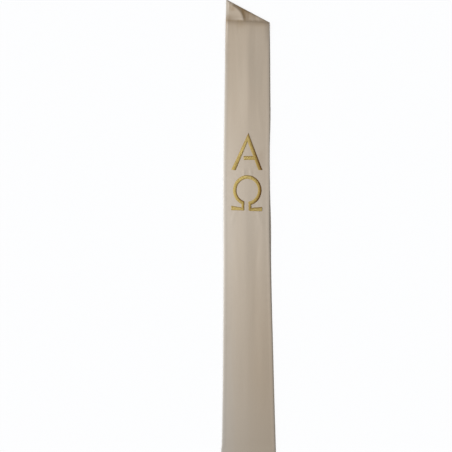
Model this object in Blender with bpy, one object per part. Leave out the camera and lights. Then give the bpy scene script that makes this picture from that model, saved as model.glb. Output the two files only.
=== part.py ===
"""Clerical stole, made of two lined halves that are sewn together at the centre of the back.

It lies folded along that seam, face up, with the front half on the back half. X runs across the
stole, Y runs up it from the hem to the neck, and Z is up from the surface that it lies on.
"""

import math
from collections import namedtuple

import bmesh
import bpy

MM = 0.001

# Cut of one half, in millimetres
OUTER_LENGTH = 1331.4
INNER_LENGTH = 1262.8
WALL = 2.0
LAYER_GAP = 0.3
HEM_STEP = 2.5

# Rounded edges of the turned cloth
EDGE_NOSE_REACH = 3.2
SEAM_NOSE_REACH = 5.0
SIDE_TIP = 0.4
SEAM_MEETING = 8.0
ALLOWANCE_RIDGE = 0.3
ALLOWANCE_REACH = 9.0
HEM_TURN = 20.0

# Centre crease, and the shallow trough beside it in shares of the width
CREST_REACH = 32.0
CREST_SOFTNESS = 5.0
TROUGH_SHARE = 0.66
TROUGH_REACH = 0.13

# Swell of the band towards the neck, and its step down to the pressed neck triangle
BASE_LIFT = 0.4
NECK_SWELL = 4.2
NECK_SWELL_REACH = 60.0
NECK_SWELL_AT_EDGE = 0.5
NECK_SWELL_LEFT_RIM = 0.05
NECK_SWELL_RIGHT_RIM = 0.12
NECK_STEP_UP = 1269.0
NECK_STEP_FALL = 6.5
NECK_STEP_LEFT_REACH = 9.0
NECK_STEP_RIGHT_REACH = 4.0
NECK_STEP_TURN = 0.45

# Curved fold in the neck triangle, from the seam down to the crease
NECK_FOLD_TOP = (-37.0, 1306.0)
NECK_FOLD_FOOT = (-13.5, 1268.0)
NECK_FOLD_BEND = 2.25
NECK_FOLD_PAST_TOP = 1.15
NECK_FOLD_HEIGHT = 3.6
NECK_FOLD_LEFT_REACH = 30.0
NECK_FOLD_RIGHT_REACH = 6.5
NECK_FOLD_RIGHT_SLOPE = 62.0
NECK_FOLD_STEEP_SHARE = 0.6
NECK_ROLL_REACH = 11.0

# Edges of the front half at heights above its hem; peek is how far the back half shows at the right
EdgeRow = namedtuple("EdgeRow", "up left right peek")
EDGE_ROWS = (
    EdgeRow(0.0, -76.8, 83.0, 1.5),
    EdgeRow(20.0, -76.4, 82.7, 1.5),
    EdgeRow(32.0, -74.8, 82.3, 1.5),
    EdgeRow(190.0, -72.4, 78.5, 1.5),
    EdgeRow(320.0, -71.0, 74.6, 1.5),
    EdgeRow(450.0, -69.3, 71.0, 1.9),
    EdgeRow(570.0, -68.6, 68.6, 2.5),
    EdgeRow(670.0, -68.8, 65.8, 4.0),
    EdgeRow(780.0, -68.8, 65.4, 0.9),
    EdgeRow(890.0, -68.6, 66.2, 0.3),
    EdgeRow(980.0, -67.6, 67.4, 1.6),
    EdgeRow(1070.0, -66.4, 66.9, 1.8),
    EdgeRow(1200.0, -64.8, 65.7, 1.5),
    EdgeRow(1262.8, -63.4, 66.0, 0.0),
    EdgeRow(1331.4, -62.0, 66.0, 0.0),
)

# Largest folds of the band: the broad crown, the centre crease's crest, its share of the width, the trough
FoldRow = namedtuple("FoldRow", "up crown crest crest_at trough")
FOLD_ROWS = (
    FoldRow(0.0, 1.4, 0.2, 0.48, 0.1),
    FoldRow(60.0, 2.4, 0.2, 0.48, 0.1),
    FoldRow(200.0, 2.7, 0.3, 0.48, 0.2),
    FoldRow(400.0, 1.9, 0.4, 0.48, 0.5),
    FoldRow(600.0, 1.6, 0.5, 0.48, 0.8),
    FoldRow(700.0, 1.7, 0.3, 0.48, 0.6),
    FoldRow(850.0, 2.0, 0.2, 0.48, 0.1),
    FoldRow(960.0, 1.1, 1.1, 0.5, 0.1),
    FoldRow(1060.0, 0.1, 2.6, 0.53, 0.2),
    FoldRow(1200.0, -0.3, 1.9, 0.5, 0.2),
    FoldRow(1331.4, 0.0, 0.3, 0.5, 0.0),
)

# Columns of points across a half: a share of its width, and millimetres in from that
Column = namedtuple("Column", "share inset")
EDGE_INSETS = (0.0, 0.4, 1.4, 3.2, 7.0, 12.0)
INNER_SHARES = (0.16, 0.22, 0.28, 0.34, 0.39, 0.43, 0.46, 0.48, 0.5, 0.53, 0.57, 0.62, 0.68, 0.74, 0.8, 0.85)
COLUMNS = (
    [Column(0.0, inset) for inset in EDGE_INSETS]
    + [Column(share, 0.0) for share in INNER_SHARES]
    + [Column(1.0, -inset) for inset in reversed(EDGE_INSETS)]
)

# Rows of points up a half: where they lie on its outer and inner sides
HEM_ROWS = (0.0, 0.4, 1.4, 3.2, 9.0, 17.0, 24.0, 34.0)
BAND_ROW_STEP = 60.0
BAND_TOP = 1225.0
STEP_INNER_UP = 1254.5
STEP_APPROACH = (0.35, 0.62, 0.8, 0.91, 1.0)
TRIANGLE_STEPS = (0.05, 0.12, 0.22, 0.34, 0.47, 0.6, 0.74, 0.88)
SEAM_INSETS = (5.0, 2.3, 0.7, 0.0)

# Plain looks
CLOTH_COLOUR = (0.47, 0.39, 0.31, 1.0)
CLOTH_ROUGHNESS = 0.55


def along(rows, column, up):
    """Reads a column of a table at a height, on a smooth curve through its rows."""
    last = len(rows) - 1
    up = min(max(up, rows[0].up), rows[last].up)
    index = 0
    while index < last - 1 and up > rows[index + 1].up:
        index += 1

    def steepness(at):
        low = rows[max(at - 1, 0)]
        high = rows[min(at + 1, last)]
        return (getattr(high, column) - getattr(low, column)) / (high.up - low.up)

    low = rows[index]
    high = rows[index + 1]
    span = high.up - low.up
    t = (up - low.up) / span
    start = (1 + 2 * t) * (1 - t) ** 2 * getattr(low, column)
    end = t * t * (3 - 2 * t) * getattr(high, column)
    turn = t * (1 - t) ** 2 * steepness(index) - t * t * (1 - t) * steepness(index + 1)
    return start + end + turn * span


def smooth_step(low, high, value):
    """Eases from 0 below low to 1 above high."""
    t = min(max((value - low) / (high - low), 0.0), 1.0)
    return t * t * (3 - 2 * t)


def neck_fold(x, up):
    """Height of the curved fold in the neck triangle: gentle on its left, steep on its right."""
    top_x, top_up = NECK_FOLD_TOP
    foot_x, foot_up = NECK_FOLD_FOOT
    t = min(max((up - foot_up) / (top_up - foot_up), 0.0), NECK_FOLD_PAST_TOP)
    crest_x = foot_x + (top_x - foot_x) * t**NECK_FOLD_BEND
    lean = NECK_FOLD_BEND * (top_x - foot_x) * t ** (NECK_FOLD_BEND - 1) / (top_up - foot_up)
    side = (x - crest_x) / math.hypot(1.0, lean)
    if side < 0:
        return NECK_FOLD_HEIGHT * math.exp(side / NECK_FOLD_LEFT_REACH)
    steep = NECK_FOLD_STEEP_SHARE * math.exp(-((side / NECK_FOLD_RIGHT_REACH) ** 2))
    gentle = (1 - NECK_FOLD_STEEP_SHARE) * max(1 - side / NECK_FOLD_RIGHT_SLOPE, 0.0)
    return NECK_FOLD_HEIGHT * (steep + gentle)


def neck_swell(share, from_step):
    """Height of the swollen band, which steps down to the neck triangle."""
    left_rim = smooth_step(0.0, NECK_SWELL_LEFT_RIM, share)
    rim = left_rim * smooth_step(0.0, NECK_SWELL_RIGHT_RIM, 1 - share)
    swell = NECK_SWELL * (NECK_SWELL_AT_EDGE + (1 - NECK_SWELL_AT_EDGE) * rim)
    swell *= math.exp(-((min(from_step, 0.0) / NECK_SWELL_REACH) ** 2))
    turned = smooth_step(0.0, NECK_STEP_TURN, share)
    reach = NECK_STEP_LEFT_REACH + (NECK_STEP_RIGHT_REACH - NECK_STEP_LEFT_REACH) * turned
    return swell * (1 - math.tanh(from_step / reach)) / 2


def lift(x, up):
    """How far the folds raise the layers at a point of the stole."""
    left = along(EDGE_ROWS, "left", up)
    right = along(EDGE_ROWS, "right", up)
    width = right - left
    share = min(max((x - left) / width, 0.0), 1.0)
    crown = along(FOLD_ROWS, "crown", up) * (1 - (2 * share - 1) ** 2)
    from_crest = (share - along(FOLD_ROWS, "crest_at", up)) * width
    from_crest = math.hypot(from_crest, CREST_SOFTNESS) - CREST_SOFTNESS
    crest = along(FOLD_ROWS, "crest", up) * math.exp(-from_crest / CREST_REACH)
    trough = along(FOLD_ROWS, "trough", up) * math.exp(-(((share - TROUGH_SHARE) / TROUGH_REACH) ** 2))
    rim = smooth_step(0.0, 0.08, share) * smooth_step(0.0, 0.08, 1 - share)
    from_step = up - (NECK_STEP_UP - NECK_STEP_FALL * share)
    band = (crown + (crest - trough) * rim) * smooth_step(0.0, 12.0, -from_step)
    triangle = neck_fold(x, up) * rim * smooth_step(-4.0, 8.0, from_step)
    roll = nose(from_seam(share, up), NECK_ROLL_REACH)
    return BASE_LIFT + band + (neck_swell(share, from_step) + triangle) * roll


def from_seam(share, up):
    """Distance down from the slanted centre-back seam."""
    seam_up = OUTER_LENGTH + (INNER_LENGTH - OUTER_LENGTH) * share
    return (seam_up - up) * math.cos(seam_angle())


def seam_angle():
    """Slope of the centre-back seam across the stole, in radians."""
    return math.atan2(OUTER_LENGTH - INNER_LENGTH, EDGE_ROWS[-1].right - EDGE_ROWS[-1].left)


def nose(distance, reach):
    """Share of the wall's full thickness at a distance from its edge, as a nose rounded over reach."""
    inside = min(max(distance, 0.0), reach) / reach
    return math.sqrt(1 - (1 - inside) ** 2)


def allowance_ridge(distance, reach):
    """Extra thickness over a turned-in seam allowance, which ends at reach from the edge."""
    return ALLOWANCE_RIDGE * (1 - smooth_step(0.6 * reach, 1.3 * reach, distance))


def row_heights():
    """Heights of each row of points on the outer and the inner side of a half."""
    band_rows = round((BAND_TOP - HEM_ROWS[-1]) / BAND_ROW_STEP)
    heights = [(up, up) for up in HEM_ROWS]
    for index in range(1, band_rows + 1):
        up = HEM_ROWS[-1] + (BAND_TOP - HEM_ROWS[-1]) * index / band_rows
        heights.append((up, up))
    for share in STEP_APPROACH:
        outer = BAND_TOP + (NECK_STEP_UP - BAND_TOP) * share
        inner = BAND_TOP + (STEP_INNER_UP - BAND_TOP) * share
        heights.append((outer, inner))
    seam_start = SEAM_INSETS[0] / math.cos(seam_angle())
    for share in TRIANGLE_STEPS:
        outer = NECK_STEP_UP + (OUTER_LENGTH - seam_start - NECK_STEP_UP) * share
        inner = STEP_INNER_UP + (INNER_LENGTH - seam_start - STEP_INNER_UP) * share
        heights.append((outer, inner))
    for inset in SEAM_INSETS:
        below = inset / math.cos(seam_angle())
        heights.append((OUTER_LENGTH - below, INNER_LENGTH - below))
    return heights


def half_points(is_front):
    """Grid of top and bottom points of one half, in millimetres."""
    hem_drop = 0.0 if is_front else HEM_STEP
    seam_tip = 0.0 if is_front else 1.0
    grid = []
    for outer_up, inner_up in row_heights():
        row = []
        for column in COLUMNS:
            row.append(half_point(column, outer_up, inner_up, hem_drop, seam_tip, is_front))
        grid.append(row)
    return grid


def half_point(column, outer_up, inner_up, hem_drop, seam_tip, is_front):
    """Top and bottom point of one half where a column crosses a row."""
    share = column.share
    up = outer_up + (inner_up - outer_up) * share
    peek = 0.0 if is_front else along(EDGE_ROWS, "peek", up)
    left = along(EDGE_ROWS, "left", up) + peek
    right = along(EDGE_ROWS, "right", up) + peek
    x = left + (right - left) * share + column.inset
    share = (x - left) / (right - left)
    up = outer_up + (inner_up - outer_up) * share
    from_hem = up
    up -= hem_drop * (1 - smooth_step(0.0, HEM_TURN, up))
    from_side = min(x - left, right - x)
    below_seam = from_seam(share, up)
    fullness = nose(from_side, EDGE_NOSE_REACH) * nose(from_hem, EDGE_NOSE_REACH)
    fullness *= nose(below_seam, SEAM_NOSE_REACH)
    floor = 0.0
    thickness = WALL + lift(x, up)
    if is_front:
        floor = thickness + LAYER_GAP
        ridge = max(allowance_ridge(from_side, ALLOWANCE_REACH), allowance_ridge(from_hem, HEM_TURN))
        thickness = WALL + ridge
    near_seam = 1 - smooth_step(0.0, SEAM_MEETING, below_seam)
    tip_share = SIDE_TIP + (seam_tip - SIDE_TIP) * near_seam
    tip = floor + tip_share * thickness
    top = tip + (floor + thickness - tip) * fullness
    bottom = tip + (floor - tip) * fullness
    return (x, up, top), (x, up, bottom)


def closed_wall(name, grid, material):
    """Builds one closed wall from a grid of top and bottom points that share their rim."""
    x_middle = (EDGE_ROWS[0].left + EDGE_ROWS[0].right + EDGE_ROWS[0].peek) / 2
    y_middle = (OUTER_LENGTH - HEM_STEP) / 2
    shape = bmesh.new()
    last_row = len(grid) - 1
    last_column = len(grid[0]) - 1

    def vertex(point):
        x, y, z = point
        return shape.verts.new(((x - x_middle) * MM, (y - y_middle) * MM, z * MM))

    tops = []
    bottoms = []
    for row_index, row in enumerate(grid):
        top_row = [vertex(top) for top, bottom in row]
        bottom_row = []
        for column_index, (top, bottom) in enumerate(row):
            on_rim = row_index in (0, last_row) or column_index in (0, last_column)
            bottom_row.append(top_row[column_index] if on_rim else vertex(bottom))
        tops.append(top_row)
        bottoms.append(bottom_row)
    for r in range(last_row):
        for c in range(last_column):
            cell = ((r, c), (r, c + 1), (r + 1, c + 1), (r + 1, c))
            # Each cell is split along the diagonal that points at the nearest corner of the piece
            if (2 * r < last_row) != (2 * c < last_column):
                cell = cell[1:] + cell[:1]
            for triangle in (cell[:3], (cell[2], cell[3], cell[0])):
                shape.faces.new([tops[i][j] for i, j in triangle])
                shape.faces.new([bottoms[i][j] for i, j in reversed(triangle)])
    mesh = bpy.data.meshes.new(name)
    shape.to_mesh(mesh)
    shape.free()
    mesh.shade_smooth()
    mesh.materials.append(material)
    piece = bpy.data.objects.new(name, mesh)
    bpy.context.scene.collection.objects.link(piece)
    return piece


def cloth_material():
    """Plain cream satin."""
    material = bpy.data.materials.new("cream_satin")
    material.use_nodes = True
    shader = material.node_tree.nodes["Principled BSDF"]
    shader.inputs["Base Color"].default_value = CLOTH_COLOUR
    shader.inputs["Roughness"].default_value = CLOTH_ROUGHNESS
    shader.inputs["Metallic"].default_value = 0.0
    return material


def main():
    """Clears the scene and builds both halves of the stole."""
    for item in list(bpy.data.objects):
        bpy.data.objects.remove(item)
    cloth = cloth_material()
    closed_wall("back_half", half_points(is_front=False), cloth)
    closed_wall("front_half", half_points(is_front=True), cloth)


main()
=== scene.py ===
"""The looks of a cream satin stole with a gold satin-stitch emblem, built round its packed halves.

The stole lies folded along its centre-back seam. Each packed half is replaced by a fine shell of the
same form, and the emblem and the seam are sewn on thread by thread. Lengths are in millimetres on
the stole's own axes, x across it from the emblem's axis and up from the front half's hem, until the
meshes are made in the frame's metres.
"""

import logging
import math
from dataclasses import dataclass
from enum import Enum

import bpy
import numpy as np
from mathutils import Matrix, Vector

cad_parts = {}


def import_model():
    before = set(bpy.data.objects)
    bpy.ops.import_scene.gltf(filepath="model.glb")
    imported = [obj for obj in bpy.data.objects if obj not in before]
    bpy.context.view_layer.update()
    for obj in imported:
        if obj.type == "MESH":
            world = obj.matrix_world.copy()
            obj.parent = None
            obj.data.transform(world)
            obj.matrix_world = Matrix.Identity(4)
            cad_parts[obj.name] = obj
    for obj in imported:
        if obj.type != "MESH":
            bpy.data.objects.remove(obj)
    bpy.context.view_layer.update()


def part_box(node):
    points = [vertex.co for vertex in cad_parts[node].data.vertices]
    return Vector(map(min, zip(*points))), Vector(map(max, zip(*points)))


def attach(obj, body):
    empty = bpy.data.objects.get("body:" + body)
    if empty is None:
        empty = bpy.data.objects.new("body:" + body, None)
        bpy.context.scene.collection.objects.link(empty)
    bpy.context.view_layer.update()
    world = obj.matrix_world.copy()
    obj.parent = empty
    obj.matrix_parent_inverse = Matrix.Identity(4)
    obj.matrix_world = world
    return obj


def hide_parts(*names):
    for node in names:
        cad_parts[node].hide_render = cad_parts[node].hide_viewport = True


LOG = logging.getLogger("stole")
MM = 0.001
# The cloth's marks carry painted shade, a painted edge highlight and painted sheen into its colour; the
# thread's mark carries painted shade.
PAINTED_SHADE_NAME = "painted_shade"
EDGE_HIGHLIGHT_NAME = "painted_edge_highlight"
SHEEN_AND_YELLOWING_NAME = "yellowing_against_sheen"
TURNED_NAME = "turned_away"
RUN_SAMPLES = 60
MAP_SIDE = 1.5


def smooth_step(low: float, high: float, value: np.ndarray) -> np.ndarray:
    """Eases from 0 at low to 1 at high.

    Args:
        low: Where the step starts.
        high: Where the step ends.
        value: The values to ease.

    Returns:
        The eased values, from 0 to 1.
    """
    t = np.clip((value - low) / (high - low), 0.0, 1.0)
    return t * t * (3 - 2 * t)


def along(rows: tuple, column: str, up: np.ndarray) -> np.ndarray:
    """Reads a column of a table at some heights, on a smooth curve through its rows.

    Args:
        rows: Table rows with a field named up, lowest first.
        column: The field to read.
        up: Heights above the hem.

    Returns:
        The column's value at each height.
    """
    ups = np.array([row.up for row in rows])
    values = np.array([getattr(row, column) for row in rows])
    slopes = np.empty_like(values)
    slopes[1:-1] = (values[2:] - values[:-2]) / (ups[2:] - ups[:-2])
    slopes[0] = (values[1] - values[0]) / (ups[1] - ups[0])
    slopes[-1] = (values[-1] - values[-2]) / (ups[-1] - ups[-2])
    up = np.clip(up, ups[0], ups[-1])
    index = np.clip(np.searchsorted(ups, up, side="right") - 1, 0, len(ups) - 2)
    span = ups[index + 1] - ups[index]
    t = (up - ups[index]) / span
    start = (1 + 2 * t) * (1 - t) ** 2 * values[index]
    end = t * t * (3 - 2 * t) * values[index + 1]
    turn = t * (1 - t) ** 2 * slopes[index] - t * t * (1 - t) * slopes[index + 1]
    return start + end + turn * span


@dataclass(frozen=True)
class EdgeRow:
    """Edges of the front half at one height; peek is how far the back half shows at the right."""

    up: float
    left: float
    right: float
    peek: float


@dataclass(frozen=True)
class StoleCut:
    """The cut of the folded stole, the same for both halves apart from the back half's peek.

    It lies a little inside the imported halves, and packed_left is where their hem's left corner lies.
    """

    outer_length: float = 1329.9
    inner_length: float = 1262.4
    hem_step: float = 2.5
    hem_turn: float = 20.0
    packed_left: float = -76.8
    area_samples: int = 400
    edges: tuple = (
        EdgeRow(0.0, -75.1, 83.0, 1.5),
        EdgeRow(20.0, -74.7, 82.7, 1.5),
        EdgeRow(32.0, -73.1, 82.3, 1.5),
        EdgeRow(190.0, -70.5, 77.7, 1.5),
        EdgeRow(320.0, -69.4, 74.4, 1.5),
        EdgeRow(450.0, -68.7, 70.5, 1.9),
        EdgeRow(570.0, -68.5, 67.8, 2.5),
        EdgeRow(670.0, -68.8, 66.1, 4.0),
        EdgeRow(780.0, -68.8, 66.2, 0.9),
        EdgeRow(890.0, -68.0, 65.8, 0.3),
        EdgeRow(980.0, -66.4, 66.9, 1.6),
        EdgeRow(1070.0, -65.0, 66.3, 1.8),
        EdgeRow(1200.0, -63.2, 65.7, 1.5),
        EdgeRow(1262.8, -61.8, 66.0, 0.0),
        EdgeRow(1331.4, -60.4, 66.0, 0.0),
    )

    def seam_angle(self) -> float:
        """Slope of the centre-back seam across the stole, in radians."""
        top = self.edges[-1]
        return math.atan2(self.outer_length - self.inner_length, top.right - top.left)

    def seam_up(self, share: np.ndarray) -> np.ndarray:
        """Height of the slanted seam above the hem, at shares of the width."""
        return self.outer_length + (self.inner_length - self.outer_length) * share

    def from_seam(self, share: np.ndarray, up: np.ndarray) -> np.ndarray:
        """Distance down from the slanted seam, at shares of the width and heights above the hem."""
        return (self.seam_up(share) - up) * math.cos(self.seam_angle())

    def width(self, up: np.ndarray) -> np.ndarray:
        """Width of the cut at heights above the hem."""
        return along(self.edges, "right", up) - along(self.edges, "left", up)

    def flat_area(self) -> float:
        """Works out the flat area of one half.

        Returns:
            The area in square metres.
        """
        widths = self.width(np.linspace(0.0, self.inner_length, self.area_samples))
        top = self.edges[-1]
        neck = (self.outer_length - self.inner_length) * (top.right - top.left) / 2
        return float(widths.mean() * self.inner_length + neck) * MM * MM


@dataclass(frozen=True)
class StolePlace:
    """Where the stole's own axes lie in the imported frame."""

    axis_x: float
    hem_y: float

    @classmethod
    def from_frame(cls, cut: StoleCut) -> "StolePlace":
        """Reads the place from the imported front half, whose hem corner is its lowest left point.

        Args:
            cut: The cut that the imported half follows.

        Returns:
            The place of the stole's axes.
        """
        low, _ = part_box("front_half")
        return cls(axis_x=low.x / MM - cut.packed_left, hem_y=low.y / MM)

    def to_metres(self, points: np.ndarray) -> np.ndarray:
        """Moves points from the stole's axes in millimetres to the frame in metres.

        Args:
            points: Points with x, up and height in the last axis.

        Returns:
            The same points in the frame.
        """
        return (points + np.array([self.axis_x, self.hem_y, 0.0])) * MM


@dataclass(frozen=True)
class FoldRow:
    """Largest folds at one height: the broad crown, the centre crest and the trough beside it."""

    up: float
    crown: float
    crest: float
    crest_at: float
    trough: float


@dataclass(frozen=True)
class ColourRow:
    """How yellow the cloth is at one height near its left edge, left of its middle and at its right.

    The shares run from 0 to 1, low ones painting sheen; the last field is how much darker the cloth is
    painted.
    """

    up: float
    left: float
    middle: float
    right: float
    darkening: float


@dataclass(frozen=True)
class WaveRow:
    """One wave of a ripple: its share of the height, its length, and how far a shift moves it."""

    share: float
    length: float
    turn: float


def ripple(waves: tuple[WaveRow, ...], run: np.ndarray, shift: float) -> np.ndarray:
    """Adds up a ripple's waves at distances along it, each moved by its own turn of the shift."""
    return sum(wave.share * np.sin(run / wave.length + wave.turn * shift) for wave in waves)


@dataclass(frozen=True)
class Crease:
    """One soft ridge or, with a negative height, trough; lean turns it clockwise from upright."""

    x: float
    up: float
    lean_deg: float
    length: float
    width: float
    height: float

    def relief(self, x: np.ndarray, up: np.ndarray) -> np.ndarray:
        """Height of this crease.

        Args:
            x: Places across the stole.
            up: Heights above the hem.

        Returns:
            What the crease adds at each point.
        """
        lean = math.radians(self.lean_deg)
        run = (x - self.x) * math.sin(lean) + (up - self.up) * math.cos(lean)
        across = (x - self.x) * math.cos(lean) - (up - self.up) * math.sin(lean)
        return self.height * np.exp(-((across / self.width) ** 2) - (2 * run / self.length) ** 4)


@dataclass(frozen=True)
class PaintedSpot(Crease):
    """One spot of the same soft form where the cloth is painted darker; a negative height takes shade
    away.
    """


@dataclass(frozen=True)
class Drape:
    """How the layers rise and fold over the surface that they lie on."""

    cut: StoleCut
    crest_reach: float = 32.0
    crest_softness: float = 5.0
    trough_share: float = 0.66
    trough_reach: float = 0.13
    base_lift: float = 0.4
    swell_height: float = 4.2
    swell_reach: float = 60.0
    swell_at_edge: float = 0.5
    swell_left_rim: float = 0.05
    swell_right_rim: float = 0.12
    step_up: float = 1269.0
    step_fall: float = 6.5
    step_left_reach: float = 9.0
    step_right_reach: float = 4.0
    step_turn: float = 0.45
    fold_top: tuple[float, float] = (-37.0, 1306.0)
    fold_foot: tuple[float, float] = (-13.5, 1268.0)
    fold_bend: float = 2.25
    fold_past_top: float = 1.15
    fold_height: float = 3.6
    fold_left_reach: float = 30.0
    fold_right_reach: float = 6.5
    fold_right_slope: float = 62.0
    fold_steep_share: float = 0.6
    roll_reach: float = 11.0
    rim_share: float = 0.08
    band_end_reach: float = 12.0
    triangle_span: tuple[float, float] = (-4.0, 8.0)
    # From here to the painted spots, the fields set the shade, highlight and sheen painted into the
    # cloth's colour.
    tone_reaches: tuple[float, ...] = (2.5, 5.0)
    tone_turns: int = 6
    tone_depth: float = 0.9
    # Painted shadow beside the curved fold in the neck triangle.
    fold_shade_ease: float = 5.0
    fold_shade_share: float = 0.80
    fold_shade_reach: float = 44.0
    fold_spot_share: float = 0.32
    fold_spot_place: tuple[float, float] = (-7.0, 1298.0)
    fold_spot_reach: float = 15.0
    step_shade_share: float = 0.38
    step_shade_left_reach: float = 10.0
    step_shade_right_reach: float = 5.0
    seam_shade_share: float = 0.7
    seam_shade_start: float = 1.0
    seam_shade_reach: float = 4.0
    edge_highlight_reach: float = 6.0
    edge_highlight_right_share: float = 0.25
    under_step_shade_share: float = 0.18
    under_step_shade_reach: float = 22.0
    painted_shade_strength: float = 0.75
    colour_shares: tuple[float, float] = (0.35, 0.75)
    ages: tuple = (
        ColourRow(0.0, 0.10, 0.60, 0.90, 0.02),
        ColourRow(120.0, 0.10, 0.60, 0.95, 0.08),
        ColourRow(250.0, 0.10, 0.60, 1.00, 0.18),
        ColourRow(450.0, 0.20, 0.60, 0.90, 0.21),
        ColourRow(600.0, 0.25, 0.62, 0.72, 0.16),
        ColourRow(700.0, 0.25, 0.60, 0.62, 0.14),
        ColourRow(860.0, 0.55, 0.70, 0.80, 0.10),
        ColourRow(980.0, 0.75, 0.85, 0.90, 0.08),
        ColourRow(1200.0, 0.95, 0.95, 0.85, 0.09),
        ColourRow(1300.0, 0.90, 1.00, 0.95, 0.08),
    )
    painted_spots: tuple = (
        PaintedSpot(-42.0, 1303.0, 0.0, 16.0, 8.0, 0.50),
        PaintedSpot(0.0, 1296.5, -61.8, 60.0, 5.0, 0.45),
        PaintedSpot(-10.0, 1282.0, -11.0, 34.0, 3.0, 0.36),
        PaintedSpot(-54.0, 1274.0, 0.0, 20.0, 8.0, 0.30),
        PaintedSpot(-21.0, 1271.5, 90.0, 34.0, 4.5, -0.22),
        PaintedSpot(20.0, 1270.0, 93.0, 44.0, 4.0, -0.26),
        PaintedSpot(0.0, 1256.0, 93.0, 130.0, 5.0, 0.12),
        PaintedSpot(-20.0, 1256.0, 0.0, 24.0, 12.0, 0.20),
        PaintedSpot(40.0, 1258.0, 93.0, 40.0, 6.0, 0.12),
        PaintedSpot(-62.0, 1205.0, 0.0, 110.0, 5.0, 0.20),
        PaintedSpot(-13.0, 1080.0, 2.0, 200.0, 12.0, -0.10),
        PaintedSpot(40.0, 866.0, 0.0, 46.0, 9.0, 0.20),
    )
    folds: tuple = (
        FoldRow(0.0, 1.4, 0.2, 0.48, 0.1),
        FoldRow(60.0, 2.4, 0.2, 0.48, 0.1),
        FoldRow(200.0, 2.7, 0.3, 0.48, 0.2),
        FoldRow(400.0, 1.9, 0.4, 0.48, 0.5),
        FoldRow(600.0, 1.6, 0.5, 0.48, 0.8),
        FoldRow(700.0, 1.7, 0.3, 0.48, 0.6),
        FoldRow(850.0, 2.0, 0.2, 0.48, 0.1),
        FoldRow(960.0, 1.1, 1.1, 0.5, 0.1),
        FoldRow(1060.0, 0.1, 2.6, 0.53, 0.2),
        FoldRow(1200.0, -0.3, 1.9, 0.5, 0.2),
        FoldRow(1331.4, 0.0, 0.3, 0.5, 0.0),
    )
    creases: tuple = (
        Crease(-48.5, 1311.0, 8.0, 26.0, 2.2, -0.5),
        Crease(4.0, 1284.0, 4.0, 30.0, 2.2, -0.34),
        Crease(15.0, 1279.0, -4.0, 26.0, 2.4, 0.30),
        Crease(24.0, 1276.0, -8.0, 22.0, 2.2, -0.28),
        Crease(34.0, 1273.0, -12.0, 18.0, 2.4, 0.24),
        Crease(-26.0, 1248.0, 3.0, 44.0, 3.4, -0.20),
        Crease(8.0, 1240.0, 3.0, 52.0, 4.0, 0.18),
        Crease(-38.0, 1236.0, -4.0, 60.0, 5.0, -0.16),
        Crease(22.0, 1205.0, 2.0, 120.0, 5.0, -0.14),
        Crease(-24.0, 1130.0, -2.0, 150.0, 7.0, 0.14),
        Crease(44.0, 1090.0, 3.0, 110.0, 6.0, -0.16),
        Crease(-44.0, 1010.0, 5.0, 90.0, 6.0, 0.12),
        Crease(36.0, 985.0, -8.0, 70.0, 5.0, 0.16),
        Crease(-9.0, 823.0, 2.0, 26.0, 3.2, 0.42),
        Crease(3.0, 826.0, -3.0, 22.0, 2.6, -0.34),
        Crease(11.0, 822.0, -6.0, 28.0, 3.0, 0.38),
        Crease(2.0, 726.0, 0.0, 34.0, 3.0, -0.28),
        Crease(-40.0, 695.0, 14.0, 46.0, 5.0, 0.20),
        Crease(38.0, 690.0, -16.0, 54.0, 5.0, 0.22),
        Crease(30.0, 600.0, 6.0, 130.0, 7.0, -0.22),
        Crease(-30.0, 560.0, -3.0, 160.0, 9.0, 0.16),
        Crease(14.0, 470.0, 2.0, 190.0, 8.0, 0.16),
        Crease(-46.0, 380.0, 4.0, 120.0, 8.0, -0.14),
        Crease(40.0, 330.0, -3.0, 170.0, 9.0, 0.15),
        Crease(-12.0, 230.0, 2.0, 200.0, 10.0, -0.14),
        Crease(54.0, 150.0, 4.0, 120.0, 8.0, -0.12),
        Crease(-48.0, 96.0, -6.0, 90.0, 7.0, 0.14),
    )

    def across_share(self, x: np.ndarray, up: np.ndarray) -> np.ndarray:
        """Share of the width at each point, from 0 at the left edge to 1 at the right."""
        left = along(self.cut.edges, "left", up)
        return np.clip((x - left) / (along(self.cut.edges, "right", up) - left), 0.0, 1.0)

    def from_step(self, share: np.ndarray, up: np.ndarray) -> np.ndarray:
        """Distance above the line where the band steps down to the neck triangle."""
        return up - (self.step_up - self.step_fall * share)

    def from_fold(self, x: np.ndarray, up: np.ndarray) -> np.ndarray:
        """Distance to the right of the curved fold in the neck triangle.

        Args:
            x: Places across the stole.
            up: Heights above the hem.

        Returns:
            The distance at each point, negative on the left.
        """
        run_x = self.fold_top[0] - self.fold_foot[0]
        run_up = self.fold_top[1] - self.fold_foot[1]
        t = np.clip((up - self.fold_foot[1]) / run_up, 0.0, self.fold_past_top)
        lean = self.fold_bend * run_x * t ** (self.fold_bend - 1) / run_up
        return (x - self.fold_foot[0] - run_x * t**self.fold_bend) / np.hypot(1.0, lean)

    def neck_fold(self, x: np.ndarray, up: np.ndarray) -> np.ndarray:
        """Curved fold in the neck triangle, gentle on its left and steep on its right.

        Args:
            x: Places across the stole.
            up: Heights above the hem.

        Returns:
            Height of the fold at each point.
        """
        side = self.from_fold(x, up)
        left = np.exp(np.minimum(side, 0.0) / self.fold_left_reach)
        side = np.maximum(side, 0.0)
        steep = self.fold_steep_share * np.exp(-((side / self.fold_right_reach) ** 2))
        gentle = (1 - self.fold_steep_share) * np.maximum(1 - side / self.fold_right_slope, 0.0)
        return self.fold_height * left * (steep + gentle)

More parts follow.
